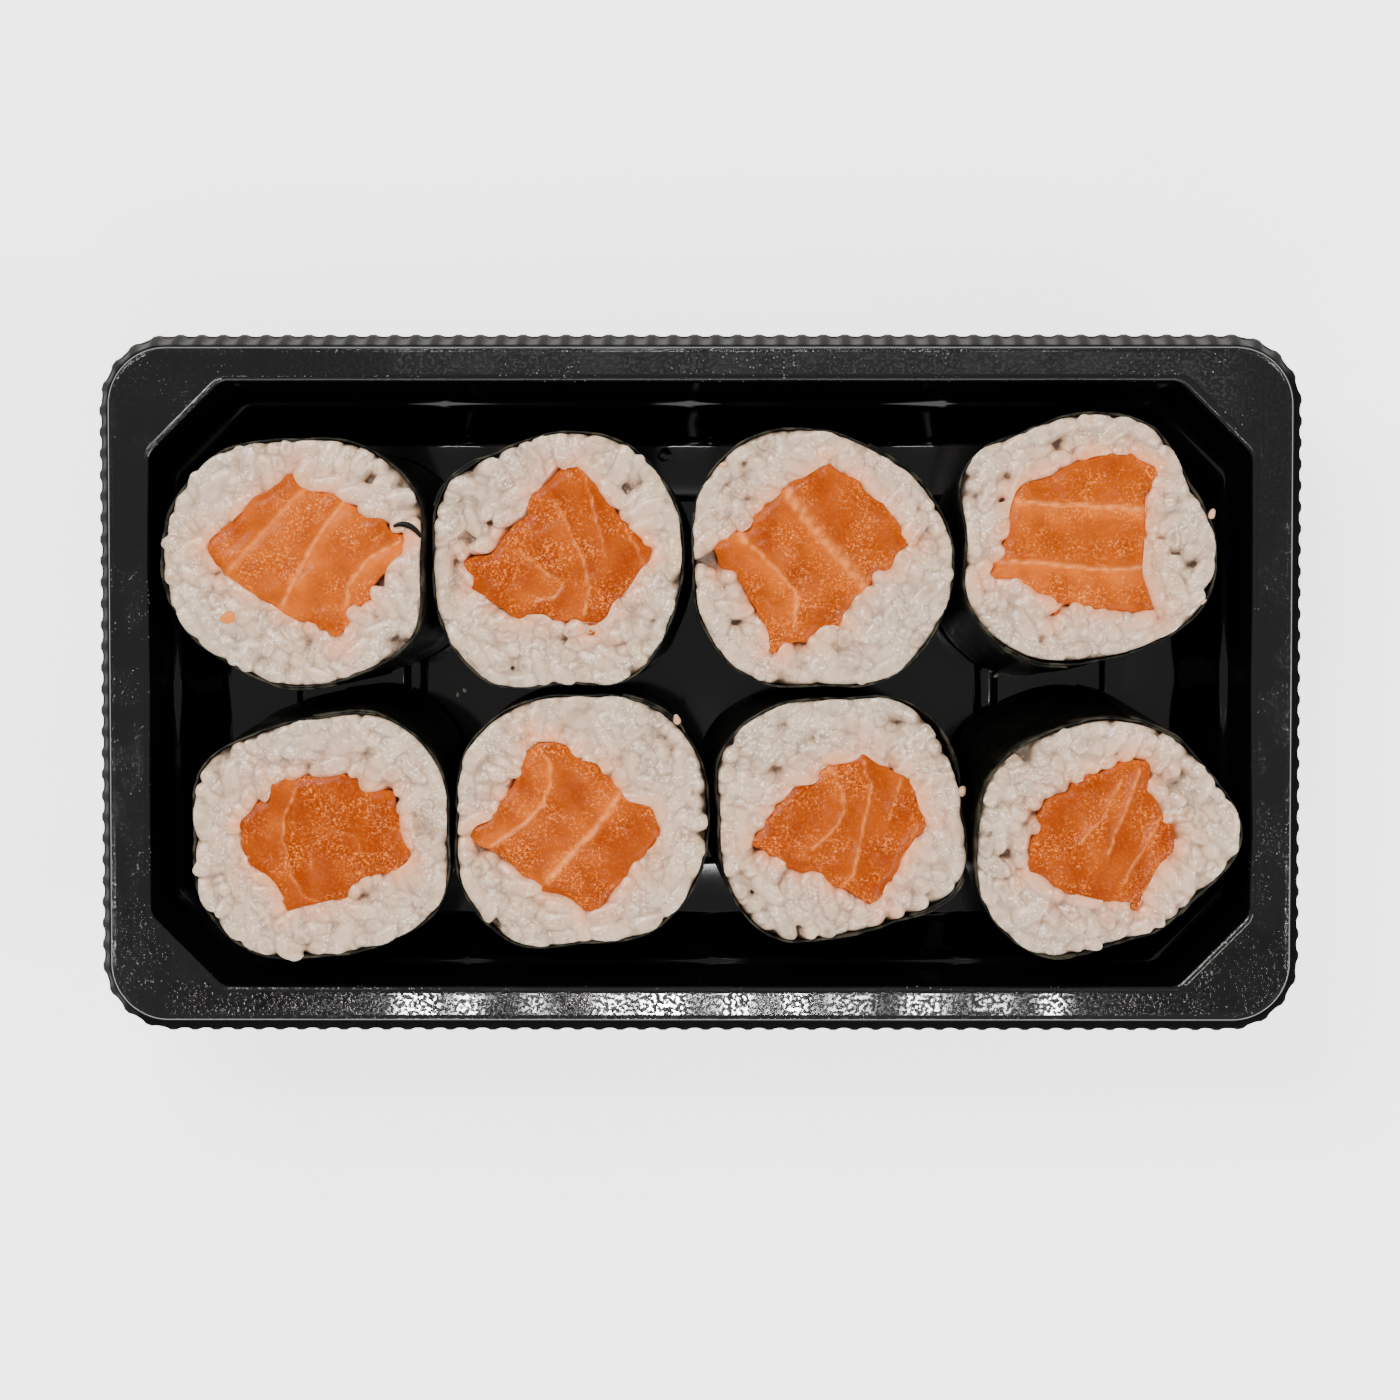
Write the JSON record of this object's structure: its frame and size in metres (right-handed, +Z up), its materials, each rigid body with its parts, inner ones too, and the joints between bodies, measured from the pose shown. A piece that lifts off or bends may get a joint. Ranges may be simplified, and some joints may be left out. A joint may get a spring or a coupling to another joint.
{
  "type": "takeaway sushi tray",
  "caption": "Shallow rectangular black formed tray with a stepped wall, flat rim and fluted skirt, packed with upright seaweed rolls of rice round salmon.",
  "frame": {"origin": "centre of the tray's underside, on the surface it stands on", "axes": "+X along the tray's length, +Y towards its back edge, +Z up out of the tray"},
  "size_m": [0.1518, 0.0882, 0.0287],
  "materials": {
    "tray": "glossy formed sheet, lightly scuffed",
    "nori": "dark toasted seaweed, faintly crinkled",
    "rice": "moist cooked rice",
    "salmon": "moist raw salmon"
  },
  "bodies": {
    "root": {"tray": "tray", "nori_back_1": "nori", "rice_back_1": "rice", "salmon_back_1": "salmon", "nori_back_2": "nori", "rice_back_2": "rice", "salmon_back_2": "salmon", "nori_back_3": "nori", "rice_back_3": "rice", "salmon_back_3": "salmon", "nori_back_4": "nori", "rice_back_4": "rice", "salmon_back_4": "salmon", "nori_front_1": "nori", "rice_front_1": "rice", "salmon_front_1": "salmon", "nori_front_2": "nori", "rice_front_2": "rice", "salmon_front_2": "salmon", "nori_front_3": "nori", "rice_front_3": "rice", "salmon_front_3": "salmon", "nori_front_4": "nori", "rice_front_4": "rice", "salmon_front_4": "salmon"}
  },
  "joints": []
}
